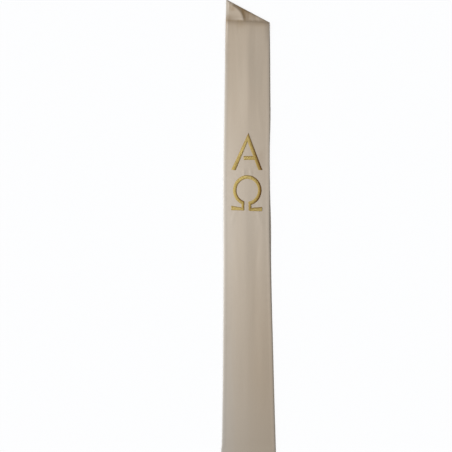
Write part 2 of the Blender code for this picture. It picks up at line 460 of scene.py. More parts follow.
    def neck_swell(self, share: np.ndarray, off_step: np.ndarray) -> np.ndarray:
        """Swell of the band towards the neck, which steps down to the neck triangle.

        Args:
            share: Shares of the width.
            off_step: Distances above the step.

        Returns:
            Height of the swell at each point.
        """
        rim = smooth_step(0.0, self.swell_left_rim, share)
        rim = rim * smooth_step(0.0, self.swell_right_rim, 1 - share)
        swell = self.swell_height * (self.swell_at_edge + (1 - self.swell_at_edge) * rim)
        swell = swell * np.exp(-((np.minimum(off_step, 0.0) / self.swell_reach) ** 2))
        turned = smooth_step(0.0, self.step_turn, share)
        reach = self.step_left_reach + (self.step_right_reach - self.step_left_reach) * turned
        return swell * (1 - np.tanh(off_step / reach)) / 2

    def lift(self, x: np.ndarray, up: np.ndarray) -> np.ndarray:
        """How far the folds raise the layers.

        Args:
            x: Places across the stole.
            up: Heights above the hem.

        Returns:
            The lift at each point.
        """
        share = self.across_share(x, up)
        crown = along(self.folds, "crown", up) * (1 - (2 * share - 1) ** 2)
        off_crest = (share - along(self.folds, "crest_at", up)) * self.cut.width(up)
        off_crest = np.hypot(off_crest, self.crest_softness) - self.crest_softness
        crest = along(self.folds, "crest", up) * np.exp(-off_crest / self.crest_reach)
        trough = np.exp(-(((share - self.trough_share) / self.trough_reach) ** 2))
        trough = trough * along(self.folds, "trough", up)
        rim = smooth_step(0.0, self.rim_share, share) * smooth_step(0.0, self.rim_share, 1 - share)
        off_step = self.from_step(share, up)
        band = (crown + (crest - trough) * rim) * smooth_step(0.0, self.band_end_reach, -off_step)
        triangle = self.neck_fold(x, up) * rim * smooth_step(*self.triangle_span, off_step)
        roll = Wall.nose(self.cut.from_seam(share, up), self.roll_reach)
        return self.base_lift + band + (self.neck_swell(share, off_step) + triangle) * roll

    def tone(self, x: np.ndarray, up: np.ndarray) -> np.ndarray:
        """How much shade is painted into the cloth, in its creases and round the fold, step and seam at
        the neck.

        Args:
            x: Places across the stole.
            up: Heights above the hem.

        Returns:
            The painted shade at each point, from 0 to 1.
        """
        here = self.lift(x, up) + self.wrinkles(x, up)
        round_it = np.zeros_like(here)
        turns = [turn * 2 * math.pi / self.tone_turns for turn in range(self.tone_turns)]
        reaches = [(reach, turn) for reach in self.tone_reaches for turn in turns]
        for reach, turn in reaches:
            side_x, side_up = x + reach * math.cos(turn), up + reach * math.sin(turn)
            round_it += self.lift(side_x, side_up) + self.wrinkles(side_x, side_up)
        # Painted shade in the creases, where the cloth lies lower than round it.
        creased = np.clip((round_it / len(reaches) - here) / self.tone_depth, 0.0, 1.0)
        share = self.across_share(x, up)
        off_step = self.from_step(share, up)
        side = self.from_fold(x, up)
        # Painted shadow right of the curved fold, fading away from it, with a darker spot close to the
        # seam.
        painted_light = smooth_step(0.0, self.fold_shade_ease, off_step) * smooth_step(0.0, self.fold_shade_ease, side)
        off_stain = np.hypot(x - self.fold_spot_place[0], up - self.fold_spot_place[1])
        fold_spot = self.fold_spot_share * painted_light * np.exp(-((off_stain / self.fold_spot_reach) ** 2))
        painted_light = self.fold_shade_share * painted_light * np.exp(-np.maximum(side, 0.0) / self.fold_shade_reach) + fold_spot
        # Painted shade along the step, wider at the left, at the seam's rolled edge, and fading down
        # below the step.
        turned = smooth_step(0.0, self.step_turn, share)
        left_reach, right_reach = self.step_shade_left_reach, self.step_shade_right_reach
        reach = left_reach + (right_reach - left_reach) * turned
        along_step = np.exp(-np.abs(off_step) / reach)
        off_seam = self.cut.from_seam(share, up)
        at_seam = 1 - smooth_step(self.seam_shade_start, self.seam_shade_reach, off_seam)
        painted_light = np.maximum(painted_light, self.step_shade_share * along_step)
        below = np.exp(np.minimum(off_step, 0.0) / self.under_step_shade_reach) * (off_step < 0)
        painted_light = np.maximum(painted_light + self.under_step_shade_share * below, self.seam_shade_share * at_seam)
        # Adds the darkening painted by height and at the listed spots, most of them shade round the
        # neck's fold and step; spots of negative height take shade away.
        total = creased + painted_light + along(self.ages, "darkening", up)
        for mark in self.painted_spots:
            total = total + mark.relief(x, up)
        return np.clip(self.painted_shade_strength * total, 0.0, 1.0)

    def edge_highlight(self, x: np.ndarray, up: np.ndarray) -> np.ndarray:
        """Painted highlight along the side edges: strong at the left, which faces the light, weak at the
        right.

        Args:
            x: Places across the stole.
            up: Heights above the hem.

        Returns:
            The paleness at each point, from 0 to 1.
        """
        width = self.cut.width(up)
        share = self.across_share(x, up)
        left = np.exp(-((share * width / self.edge_highlight_reach) ** 2))
        right = np.exp(-(((1 - share) * width / self.edge_highlight_reach) ** 2))
        return left + self.edge_highlight_right_share * right

    def yellowing_against_sheen(self, x: np.ndarray, up: np.ndarray) -> np.ndarray:
        """How yellow the cloth is painted; low values give painted sheen, a lighter and neutral colour.

        Args:
            x: Places across the stole.
            up: Heights above the hem.

        Returns:
            The yellowing at each point, from 0 to 1.
        """
        share = self.across_share(x, up)
        left, middle, right = (along(self.ages, side, up) for side in ("left", "middle", "right"))
        inner = left + (middle - left) * smooth_step(0.0, self.colour_shares[0], share)
        return inner + (right - middle) * smooth_step(*self.colour_shares, share)

    def wrinkles(self, x: np.ndarray, up: np.ndarray) -> np.ndarray:
        """Small creases of the upper face.

        Args:
            x: Places across the stole.
            up: Heights above the hem.

        Returns:
            What the creases add at each point.
        """
        total = np.zeros(np.broadcast(x, up).shape)
        for crease in self.creases:
            total += crease.relief(x, up)
        return total


class Stroke:
    """One satin stroke of the emblem, stitched from rail to rail; depth is how much shade is painted on
    its thread.
    """

    name: str
    depth: float

    def rails(self, share: np.ndarray) -> tuple[np.ndarray, np.ndarray]:
        """Points on both rails.

        Args:
            share: Shares of the stroke's run, from 0 to 1.

        Returns:
            Points with x and up on the left rail and on the right rail.
        """
        raise NotImplementedError

    def run(self) -> float:
        """Measures the stroke's middle line.

        Returns:
            The line's length.
        """
        left, right = self.rails(np.linspace(0.0, 1.0, RUN_SAMPLES))
        steps = np.diff((left + right) / 2, axis=0)
        return float(np.hypot(steps[:, 0], steps[:, 1]).sum())


@dataclass(frozen=True)
class BarStroke(Stroke):
    """A straight stroke whose rails run between two cut ends."""

    name: str
    start_left: tuple[float, float]
    start_right: tuple[float, float]
    end_left: tuple[float, float]
    end_right: tuple[float, float]
    depth: float = 0.0

    def rails(self, share: np.ndarray) -> tuple[np.ndarray, np.ndarray]:
        """Points on both rails.

        Args:
            share: Shares of the stroke's run, from 0 to 1.

        Returns:
            Points with x and up on the left rail and on the right rail.
        """
        share = share[:, None]
        left = np.array(self.start_left) * (1 - share) + np.array(self.end_left) * share
        right = np.array(self.start_right) * (1 - share) + np.array(self.end_right) * share
        return left, right


@dataclass(frozen=True)
class RingStroke(Stroke):
    """A ring that is open at its foot, and runs clockwise from the left side of that opening.

    gap_left is how far left of the ring's axis the opening's middle lies.
    """

    name: str
    centre: tuple[float, float]
    outer: float
    inner: float
    outer_gap: float
    inner_gap: float
    gap_left: float
    tallness: float
    depth: float = 0.0

    def rail(self, share: np.ndarray, radius: float, gap: float) -> np.ndarray:
        """Points on the rail of one radius.

        Args:
            share: Shares of the ring's run, from 0 to 1.
            radius: The rail's radius.
            gap: How wide the rail's opening is.

        Returns:
            Points with x and up.
        """
        left = math.asin((gap / 2 + self.gap_left) / radius)
        right = math.asin((gap / 2 - self.gap_left) / radius)
        angle = -math.pi / 2 - left - share * (2 * math.pi - left - right)
        around = np.stack([np.cos(angle), self.tallness * np.sin(angle)], -1)
        return np.array(self.centre) + radius * around

    def rails(self, share: np.ndarray) -> tuple[np.ndarray, np.ndarray]:
        """Points on the outer rail, which is the left one, and on the inner rail."""
        outer = self.rail(share, self.outer, self.outer_gap)
        return outer, self.rail(share, self.inner, self.inner_gap)


@dataclass(frozen=True)
class Emblem:
    """The alpha and omega, placed on the stole, and how they draw in the cloth round them."""

    alpha_up: float = 832.0
    omega_up: float = 774.0
    omega_x: float = 0.8
    ring_outer: float = 41.4
    ring_inner: float = 31.5
    ring_tallness: float = 1.06
    ring_drop: float = 1.2
    stem_outer: float = 14.0
    stem_inner: float = 6.2
    stems_left: float = 2.6
    sink: float = 0.08
    sink_reach: float = 2.6
    ripple_height: float = 0.14
    ripple_reach: float = 7.0
    ripple_ease: float = 1.5
    ripple_shift: float = 17.0
    waves: tuple = (WaveRow(1.0, 1.45, 0.0), WaveRow(0.7, 2.3, 1.0))
    draw_step: float = 1.5
    draw_least: int = 8
    draw_side: float = 66.0
    draw_below: float = 85.0
    draw_above: float = 130.0

    def strokes(self) -> list[Stroke]:
        """Lays out the strokes in the order that they are stitched.

        Returns:
            The strokes.
        """
        a = self.alpha_up
        o = self.omega_up
        ring = RingStroke(
            "omega_ring", (self.omega_x, o - self.ring_drop), self.ring_outer, self.ring_inner,
            2 * self.stem_outer, 2 * self.stem_inner, self.stems_left, self.ring_tallness,
        )
        (left_outer, right_outer), (left_inner, right_inner) = ring.rails(np.array([0.0, 1.0]))
        # A stroke's last number, where given, is the shade painted on its thread.
        return [
            BarStroke(
                "alpha_bar", (-9.8, a + 40.5), (-9.8, a + 29.5), (22.0, a + 40.5), (22.0, a + 29.5), 0.06
            ),
            BarStroke(
                "alpha_left", (-45.6, a + 1.2), (-33.8, a - 1.4), (4.2, a + 107.8), (2.4, a + 84.4), 0.14
            ),
            BarStroke(
                "alpha_right", (33.2, a - 0.4), (45.0, a - 0.4), (0.8, a + 84.4), (3.6, a + 108.0), 0.12
            ),
            ring,
            BarStroke("omega_left_stem", left_outer, left_inner, (-15.8, o - 58.2), (-8.0, o - 59.4)),
            BarStroke(
                "omega_right_stem", right_inner, right_outer, (4.4, o - 60.4), (13.2, o - 59.6), 0.22
            ),
            BarStroke(
                "omega_left_foot",
                (-46.0, o - 46.2), (-46.4, o - 59.0), (-9.8, o - 52.8), (-9.8, o - 60.2), 0.1,
            ),
            BarStroke(
                "omega_right_foot",
                (43.5, o - 50.0), (43.9, o - 62.4), (6.8, o - 53.0), (6.8, o - 61.4), 0.1,
            ),
        ]

    def draw_in(self, x: np.ndarray, up: np.ndarray) -> np.ndarray:
        """How the stitches pull the cloth down and ripple it beside each stroke.

        Args:
            x: Places across the stole.
            up: Heights above the hem.

        Returns:
            What the stitches add to the cloth's height at each point.
        """
        middles, widths, runs = [], [], []
        for index, stroke in enumerate(self.strokes()):
            share = np.linspace(0.0, 1.0, max(int(stroke.run() / self.draw_step), self.draw_least))
            left, right = stroke.rails(share)
            middles.append((left + right) / 2)
            widths.append(np.hypot(*(right - left).T) / 2)
            runs.append(share * stroke.run() + self.ripple_shift * index)
        middle, width, run = np.concatenate(middles), np.concatenate(widths), np.concatenate(runs)
        total = np.zeros_like(x)
        near = (up > self.omega_up - self.draw_below) & (up < self.alpha_up + self.draw_above)
        near = near & (np.abs(x) < self.draw_side)
        points = np.stack([x[near], up[near]], -1)
        off = np.hypot(*(points[:, None, :] - middle).transpose(2, 0, 1)) - width
        nearest = off.argmin(1)
        off = off[np.arange(len(off)), nearest]
        wave = self.ripple_height * ripple(self.waves, run[nearest], 1.0)
        outside = np.maximum(off, 0.0)
        fade = np.exp(-outside / self.ripple_reach)
        total[near] = wave * fade * smooth_step(0.0, self.ripple_ease, off)
        total[near] -= self.sink * np.exp(-((outside / self.sink_reach) ** 2))
        return total


def add_object(name: str, data: bpy.types.ID) -> bpy.types.Object:
    """Puts a mesh, a light or a camera in the scene.

    Args:
        name: The new object's name.
        data: What the object holds.

    Returns:
        The object.
    """
    item = bpy.data.objects.new(name, data)
    bpy.context.scene.collection.objects.link(item)
    return item


def smooth_mesh(name: str, place: StolePlace, points: np.ndarray, faces: np.ndarray) -> bpy.types.Mesh:
    """Makes a smooth mesh from points on the stole's own axes.

    Args:
        name: The mesh's name.
        place: Where the stole lies.
        points: Points with x, up and height.
        faces: The numbers of each face's points.

    Returns:
        The mesh, in the frame's metres.
    """
    mesh = bpy.data.meshes.new(name)
    mesh.from_pydata(place.to_metres(points).tolist(), [], faces.tolist())
    mesh.shade_smooth()
    return mesh


def add_flat_map(mesh: bpy.types.Mesh) -> None:
    """Lays a map on a mesh as seen from above, one unit for each metre and a half.

    Args:
        mesh: The mesh to map, in the frame's metres.
    """
    points = np.empty(len(mesh.vertices) * 3, np.float32)
    mesh.vertices.foreach_get("co", points)
    corners = np.empty(len(mesh.loops), np.int32)
    mesh.loops.foreach_get("vertex_index", corners)
    flat = points.reshape(-1, 3)[corners, :2] / MAP_SIDE + 0.5
    layer = mesh.uv_layers.new(name="flat")
    layer.data.foreach_set("uv", flat.astype(np.float32).ravel())


def mark_points(mesh: bpy.types.Mesh, name: str, values: np.ndarray) -> None:
    """Gives each point of a mesh a value that its material reads."""
    marks = mesh.attributes.new(name=name, type="FLOAT", domain="POINT")
    marks.data.foreach_set("value", values.astype(np.float32))


class Half(Enum):
    """The two halves of the folded stole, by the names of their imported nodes."""

    FRONT = "front_half"
    BACK = "back_half"


ROW_STEPS = {Half.BACK: 6.0, Half.FRONT: 3.2}


@dataclass(frozen=True)
class Wall:
    """Thickness of one half and how its edges are turned."""

    thickness: float = 2.0
    layer_gap: float = 0.3
    edge_nose_reach: float = 3.2
    seam_nose_reach: float = 5.0
    side_tip: float = 0.4
    seam_meeting: float = 8.0
    ridge_height: float = 0.3
    ridge_reach: float = 9.0
    ridge_fall: tuple[float, float] = (0.6, 1.3)
    pucker_height: float = 0.16
    pucker_reach: float = 9.0
    pucker_ease: float = 2.5
    pucker_waves: tuple = (WaveRow(1.0, 3.7, 1.0), WaveRow(0.8, 5.9, 2.1), WaveRow(0.7, 12.7, -1.3))
    pucker_base: float = 0.55
    pucker_swell: WaveRow = WaveRow(0.45, 61.0, 3.0)

    @staticmethod
    def nose(distance: np.ndarray, reach: float) -> np.ndarray:
        """Share of the full thickness at a distance from the edge, as a nose rounded over reach."""
        inside = np.clip(distance, 0.0, reach) / reach
        return np.sqrt(1 - (1 - inside) ** 2)

    def ridge(self, distance: np.ndarray, reach: float) -> np.ndarray:
        """Extra thickness over a turned-in seam allowance that ends at reach from the edge."""
        start, end = self.ridge_fall
        return self.ridge_height * (1 - smooth_step(start * reach, end * reach, distance))

    def puckers(self, distance: np.ndarray, run: np.ndarray, shift: float) -> np.ndarray:
        """Uneven ripples where the seam's thread draws the edge in.

        Args:
            distance: Distance in from the edge.
            run: Distance along the edge.
            shift: Moves the ripples, so that no two edges match.

        Returns:
            What the ripples add at each point.
        """
        wave = ripple(self.pucker_waves, run, shift)
        swell = self.pucker_base + ripple((self.pucker_swell,), run, shift)
        fade = np.exp(-distance / self.pucker_reach) * smooth_step(0.0, self.pucker_ease, distance)
        return self.pucker_height * wave * swell * fade


@dataclass
class ClothHalf:
    """One half of the stole as a fine closed shell."""

    half: Half
    cut: StoleCut
    drape: Drape
    wall: Wall
    emblem: Emblem
    place: StolePlace
    column_step: float = 2.7
    turning_step: float = 1.8
    neck_step: float = 1.4
    edge_insets: tuple = (0.0, 0.12, 0.4, 0.8, 1.3, 1.9, 2.5, 3.2, 4.2, 5.4, 6.8, 8.4, 10.2, 12.2)
    seam_insets: tuple = (0.0, 0.15, 0.45, 0.9, 1.5, 2.2, 3.0, 3.9, 5.0)
    step_inner_up: float = 1250.0
    shear_start: float = 1215.0
    pucker_shifts: tuple[float, float] = (0.4, 2.2)

    def columns(self) -> tuple[np.ndarray, np.ndarray]:
        """Sets out the columns of points across the half.

        Returns:
            Each column's share of the width, and its inset from there.
        """
        edge = np.array(self.edge_insets)
        width = self.cut.edges[-1].right - self.cut.edges[-1].left
        first = (self.edge_insets[-1] + self.column_step) / width
        count = int(round((1 - 2 * first) * width / self.column_step))
        inner = np.linspace(first, 1 - first, count)
        shares = np.concatenate([np.zeros(len(edge)), inner, np.ones(len(edge))])
        insets = np.concatenate([edge, np.zeros(count), -edge[::-1]])
        return shares, insets

    def rows(self) -> tuple[np.ndarray, np.ndarray]:
        """Sets out the rows of points, level on the band and turning to the seam's slope above it.

        Returns:
            Each row's height on the outer side and on the inner side.
        """
        edge = np.array(self.edge_insets)
        row_step = ROW_STEPS[self.half]
        straight = np.arange(edge[-1] + row_step, self.shear_start, row_step)
        turning = self.drape.step_up - self.shear_start
        below = np.linspace(0.0, 1.0, int(turning / self.turning_step))[:-1]
        turning_outer = self.shear_start + turning * below
        turning_inner = self.shear_start + (self.step_inner_up - self.shear_start) * below
        seam = np.array(self.seam_insets)[::-1] / math.cos(self.cut.seam_angle())
        outer_end = self.cut.outer_length - seam[0]
        inner_end = self.cut.inner_length - seam[0]
        above = np.linspace(0.0, 1.0, int((outer_end - self.drape.step_up) / self.neck_step))[:-1]
        neck_outer = self.drape.step_up + (outer_end - self.drape.step_up) * above
        neck_inner = self.step_inner_up + (inner_end - self.step_inner_up) * above
        outer = [edge, straight, turning_outer, neck_outer, self.cut.outer_length - seam]
        inner = [edge, straight, turning_inner, neck_inner, self.cut.inner_length - seam]
        return np.concatenate(outer), np.concatenate(inner)

    def surface(self) -> tuple[np.ndarray, np.ndarray]:
        """Works out the upper and lower face.

        Returns:
            Grids of points with x, up and height, rows first.
        """
        is_front = self.half is Half.FRONT
        shares, insets = self.columns()
        outer, inner = (side[:, None] for side in self.rows())
        up = outer + (inner - outer) * shares
        peek = 0.0 if is_front else along(self.cut.edges, "peek", up)
        left = along(self.cut.edges, "left", up) + peek
        right = along(self.cut.edges, "right", up) + peek
        x = left + (right - left) * shares + insets
        share = (x - left) / (right - left)
        up = outer + (inner - outer) * share
        from_hem = up
        if not is_front:
            up = up - self.cut.hem_step * (1 - smooth_step(0.0, self.cut.hem_turn, up))
        from_left = x - left
        from_right = right - x
        from_side = np.minimum(from_left, from_right)
        from_seam = self.cut.from_seam(share, up)
        wall = self.wall
        nose = wall.nose(from_side, wall.edge_nose_reach) * wall.nose(from_hem, wall.edge_nose_reach)
        nose = nose * wall.nose(from_seam, wall.seam_nose_reach)
        lift = self.drape.lift(x, up)
        floor = np.zeros_like(lift)
        thickness = wall.thickness + lift
        if is_front:
            floor = thickness + wall.layer_gap
            ridge = wall.ridge(from_side, wall.ridge_reach)
            ridge = np.maximum(ridge, wall.ridge(from_hem, self.cut.hem_turn))
            thickness = wall.thickness + ridge + self.drape.wrinkles(x, up)
            for distance, shift in zip((from_left, from_right), self.pucker_shifts):
                thickness = thickness + wall.puckers(distance, up, shift)
            thickness = thickness + self.emblem.draw_in(x, up)
        near_seam = 1 - smooth_step(0.0, wall.seam_meeting, from_seam)
        tip_share = wall.side_tip + ((0.0 if is_front else 1.0) - wall.side_tip) * near_seam
        tip = floor + tip_share * thickness
        top = tip + (floor + thickness - tip) * nose
        bottom = tip + (floor - tip) * nose
        return np.stack([x, up, top], -1), np.stack([x, up, bottom], -1)

    def upper_height(self, x: np.ndarray, up: np.ndarray) -> np.ndarray:
        """Height of the front half's upper face, away from its edges.

        Args:
            x: Places across the stole.
            up: Heights above the hem.

        Returns:
            The height at each point.
        """
        layers = 2 * self.wall.thickness + self.wall.layer_gap
        return layers + self.drape.lift(x, up) + self.drape.wrinkles(x, up)

    def build(self) -> bpy.types.Object:
        """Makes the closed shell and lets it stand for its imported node.

        Returns:
            The shell.
        """
        top, bottom = self.surface()
        shape = top.shape[:2]
        upper = np.arange(shape[0] * shape[1]).reshape(shape)
        lower = upper.copy()
        inside = (slice(1, -1), slice(1, -1))
        lower[inside] = upper.size + np.arange(lower[inside].size).reshape(lower[inside].shape)
        points = np.concatenate([top.reshape(-1, 3), bottom[inside].reshape(-1, 3)])

        def cells(grid: np.ndarray) -> np.ndarray:
            """The four corners of each cell of a grid of point numbers."""
            corners = [grid[:-1, :-1], grid[:-1, 1:], grid[1:, 1:], grid[1:, :-1]]
            return np.stack(corners, -1).reshape(-1, 4)

        faces = np.concatenate([cells(upper), cells(lower)[:, ::-1]])
        mesh = smooth_mesh(f"{self.half.value}_cloth", self.place, points, faces)
        add_flat_map(mesh)
        drape = self.drape
        # These marks paint shade, an edge highlight and sheen into the satin's colour.
        readings = {PAINTED_SHADE_NAME: drape.tone, EDGE_HIGHLIGHT_NAME: drape.edge_highlight, SHEEN_AND_YELLOWING_NAME: drape.yellowing_against_sheen}
        for name, reading in readings.items():
            mark_points(mesh, name, reading(points[:, 0], points[:, 1]))
        piece = add_object(f"{self.half.value}_cloth", mesh)
        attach(piece, "root")
        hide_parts(self.half.value)
        return piece


@dataclass
class Embroidery:
    """The emblem's padding and its satin stitches.

    The tones say how dark the thread is at a stroke's ends, where it faces along the light or leans
    from it, and on its far side; away is the way that the light travels.
    """

    emblem: Emblem
    cloth: ClothHalf
    place: StolePlace
    pitch: float = 0.44
    thread_radius: float = 0.24
    relief_share: float = 0.06
    arch_powers: tuple[float, float] = (2.2, 0.9)
    sides: int = 5
    stations: int = 11
    away: tuple[float, float] = (0.95, 0.3)
    end_tone: float = 0.2
    upright_end_tone: float = 0.55
    end_span: tuple[float, float] = (0.55, 1.0)
    turned_span: tuple[float, float] = (-0.1, 0.9)
    facing_tone: float = 0.3
    near_span: tuple[float, float] = (-50.0, -10.0)
    near_share: float = 0.6
    lean_tone: float = 0.34
    lean_span: tuple[float, float] = (-6.0, 40.0)
    lean_turned_span: tuple[float, float] = (-1.0, 0.4)
    slant: float = 0.35
    uneven_ends: tuple[float, float] = (-0.05, 0.30)
    uneven_rise: float = 0.05
    end_dip: float = 0.22
    end_place: float = 0.999
    padding_span: tuple[float, float] = (0.03, 0.97)
    padding_columns: int = 11
    padding_step: float = 1.6
    padding_least: int = 4
    padding_inset: float = 1.0
    padding_sink: float = 0.6
    seed: int = 7

    def arch(self, across: np.ndarray) -> np.ndarray:
        """Height of a stitch over its padding, as a share of its crown, from rail to rail."""
        flank, crown = self.arch_powers
        return (1 - np.abs(2 * across - 1) ** flank) ** crown

    def bridge(
        self, left: np.ndarray, right: np.ndarray, across: np.ndarray
    ) -> tuple[np.ndarray, np.ndarray]:
        """Draws arched lines from the left rail to the right one.

        Args:
            left: Points on the left rail.
            right: Points on the right rail.
            across: Shares of the way from left to right.

        Returns:
            Points with line, share and x, up, and how far each rises over the cloth.
        """
        flat = left[:, None, :] + (right - left)[:, None, :] * across[None, :, None]
        width = np.hypot(*(right - left).T)[:, None]
        return flat, self.relief_share * width * self.arch(across)[None, :]

    def laid(self, flat: np.ndarray, rise: np.ndarray) -> np.ndarray:
        """Raises points with x and up over the cloth's upper face."""
        height = self.cloth.upper_height(flat[..., 0], flat[..., 1]) + rise
        return np.concatenate([flat, height[..., None]], -1)

    def stitch_lines(self, stroke: Stroke, rng: np.random.Generator) -> np.ndarray:
        """Lays the middle lines of a stroke's stitches.

        Args:
            stroke: The stroke to stitch.
            rng: Source of the hand's small unevenness.

        Returns:
            Points with stitch, station and x, up, height.
        """
        count = int(stroke.run() / self.pitch)
        share = (np.arange(count) + 0.5) / count
        lean = self.slant / stroke.run()
        left, _ = stroke.rails(np.clip(share - lean, 0.0, 1.0))
        _, right = stroke.rails(np.clip(share + lean, 0.0, 1.0))
        inward = (right - left) / np.hypot(*(right - left).T)[:, None]
        left = left - inward * rng.uniform(*self.uneven_ends, (count, 1))
        right = right + inward * rng.uniform(*self.uneven_ends, (count, 1))
        across = np.linspace(0.0, 1.0, self.stations)
        flat, rise = self.bridge(left, right, across)
        uneven = rng.uniform(-self.uneven_rise, self.uneven_rise, (count, 1))
        lines = self.laid(flat, rise + uneven * np.sin(np.pi * across)[None, :])
        lines[..., 2] -= self.end_dip * (np.abs(2 * across - 1) > self.end_place)
        return lines

    def tubes(self, lines: np.ndarray, radius: float) -> tuple[np.ndarray, np.ndarray, np.ndarray]:
        """Winds thread tubes round a set of middle lines.

        Args:
            lines: Points with line, station and x, up, height.
            radius: The thread's radius.

        Returns:
            The points, the faces, and for each point its length along and its turn round the thread.
        """
        tangent = np.gradient(lines, axis=1)
        tangent = tangent / np.linalg.norm(tangent, axis=-1, keepdims=True)
        side = np.cross(tangent, np.array([0.0, 0.0, 1.0]))
        side = side / np.linalg.norm(side, axis=-1, keepdims=True)
        rise = np.cross(side, tangent)
        turn = np.arange(self.sides) * 2 * math.pi / self.sides + math.pi / 2
        ring = np.cos(turn)[:, None] * side[:, :, None, :] + np.sin(turn)[:, None] * rise[:, :, None, :]
        points = lines[:, :, None, :] + ring * radius
        grid = np.arange(points[..., 0].size).reshape(points.shape[:3])
        around = np.roll(grid, -1, axis=2)
        faces = np.stack([grid[:, :-1], around[:, :-1], around[:, 1:], grid[:, 1:]], -1)
        steps = np.linalg.norm(np.diff(lines, axis=1), axis=-1)
        length = np.concatenate([np.zeros((len(lines), 1)), steps.cumsum(1)], 1)
        marks = np.zeros(points.shape[:3] + (2,))
        marks[..., 0] = length[:, :, None]
        marks[..., 1] = np.arange(self.sides) / self.sides
        return points.reshape(-1, 3), faces.reshape(-1, 4), marks.reshape(-1, 2)

    def turned_away(self, lines: np.ndarray, depth: np.ndarray | float) -> np.ndarray:
        """Works out how far each station of each thread lies away from the light.

        Args:
            lines: Middle lines with line, station and x, up, height.
            depth: How much shade is painted on the threads for the stroke that they are in.

        Returns:
            One value for each station of each line, from 0 to 1.
        """
        across = lines[:, -1, :2] - lines[:, 0, :2]
        facing = (across @ np.array(self.away) / np.hypot(*across.T))[:, None]
        flatly = np.abs(facing)
        place = np.linspace(-1.0, 1.0, lines.shape[1])[None, :]
        ends = self.end_tone + self.upright_end_tone * (1 - flatly)
        ends = ends * smooth_step(*self.end_span, np.abs(place))
        leaning = self.lean_tone * smooth_step(*self.lean_span, lines[..., 0]) * flatly
        toward = place * facing
        off_light = smooth_step(*self.near_span, lines[..., 0])
        near = self.near_share + (1 - self.near_share) * off_light
        turned = smooth_step(*self.turned_span, toward) * near
        turned = turned + leaning * smooth_step(*self.lean_turned_span, toward)
        base = self.facing_tone * flatly * off_light + depth
        return (base + (1 - base) * np.clip(turned + ends, 0.0, 1.0)).ravel()

    def build_threads(self) -> bpy.types.Object:
        """Makes all the satin stitches as one mesh.

        Returns:
            The stitches.
        """
        rng = np.random.default_rng(self.seed)
        strokes = self.emblem.strokes()
        lines = [self.stitch_lines(stroke, rng) for stroke in strokes]
        depths = [np.full((len(run), 1), stroke.depth) for stroke, run in zip(strokes, lines)]
        for stroke, run in zip(strokes, lines):
            LOG.info("%s: %d stitches", stroke.name, len(run))
        depth = np.concatenate(depths)
        return self.build_tubes("emblem_stitches", np.concatenate(lines), self.thread_radius, depth)

    def build_tubes(
        self, name: str, lines: np.ndarray, radius: float, depth: np.ndarray | float = 0.0
    ) -> bpy.types.Object:
        """Makes one object of thread tubes.

        Args:
            name: The object's name.
            lines: Middle lines with line, station and x, up, height.
            radius: The thread's radius.
            depth: How much shade is painted on the threads.

        Returns:
            The object, riding on the stole.
        """
        points, faces, marks = self.tubes(lines, radius)
        mesh = smooth_mesh(name, self.place, points, faces)
        layer = mesh.uv_layers.new(name="thread")
        layer.data.foreach_set("uv", marks[faces.ravel()].astype(np.float32).ravel())
        mark_points(mesh, TURNED_NAME, np.repeat(self.turned_away(lines, depth), self.sides))
        piece = add_object(name, mesh)
        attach(piece, "root")
        return piece

    def build_padding(self) -> bpy.types.Object:
        """Makes the padding that shows between the stitches.

        Returns:
            The padding of all the strokes.
        """
        points, faces, used = [], [], 0
        across = np.linspace(*self.padding_span, self.padding_columns)
        for stroke in self.emblem.strokes():
            inset = self.padding_inset / stroke.run()
            count = max(int(stroke.run() / self.padding_step), self.padding_least)
            left, right = stroke.rails(np.linspace(inset, 1.0 - inset, count))
            flat, rise = self.bridge(left, right, across)
            points.append(self.laid(flat, rise - self.thread_radius * self.padding_sink).reshape(-1, 3))
            grid = used + np.arange(flat[..., 0].size).reshape(flat.shape[:2])
            cells = np.stack([grid[:-1, :-1], grid[1:, :-1], grid[1:, 1:], grid[:-1, 1:]], -1)
            faces.append(cells.reshape(-1, 4))
            used += grid.size
        mesh = smooth_mesh("emblem_padding", self.place, np.concatenate(points), np.concatenate(faces))
        add_flat_map(mesh)
        piece = add_object("emblem_padding", mesh)
        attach(piece, "root")
        return piece


@dataclass
class CentreSeam:
    """The small stitches that join both halves along the slanted centre-back seam."""

    embroidery: Embroidery
    cut: StoleCut
    wall: Wall
    pitch: float = 2.6
    reach: float = 0.45
    thread_radius: float = 0.14
    half_length: float = 0.35
    bulge: float = 0.10
    inset: float = 0.19
    first: float = 3.0

    def build(self) -> bpy.types.Object:
        """Makes the row of joining stitches.

        Returns:
            The stitches.
        """
        top = self.cut.edges[-1]
        width = top.right - top.left
        slant = self.cut.seam_angle()
        run = width / math.cos(slant)
        at = np.arange(self.first, run - self.first, self.pitch) / run
        x = top.left + width * at
        up = self.cut.seam_up(at)
        drape = self.embroidery.cloth.drape
        middle = self.wall.thickness + drape.lift(x, up) + self.wall.layer_gap / 2
        turn = np.linspace(-1.0, 1.0, self.embroidery.stations)
        out = self.bulge * np.cos(turn * math.pi / 2) - self.inset
        lines = np.empty((len(at), len(turn), 3))
        lines[..., 0] = x[:, None] + math.sin(slant) * out + self.half_length * turn * math.cos(slant)
        lines[..., 1] = up[:, None] + math.cos(slant) * out - self.half_length * turn * math.sin(slant)
        lines[..., 2] = middle[:, None] + self.reach * turn
        return self.embroidery.build_tubes("centre_seam_stitches", lines, self.thread_radius)


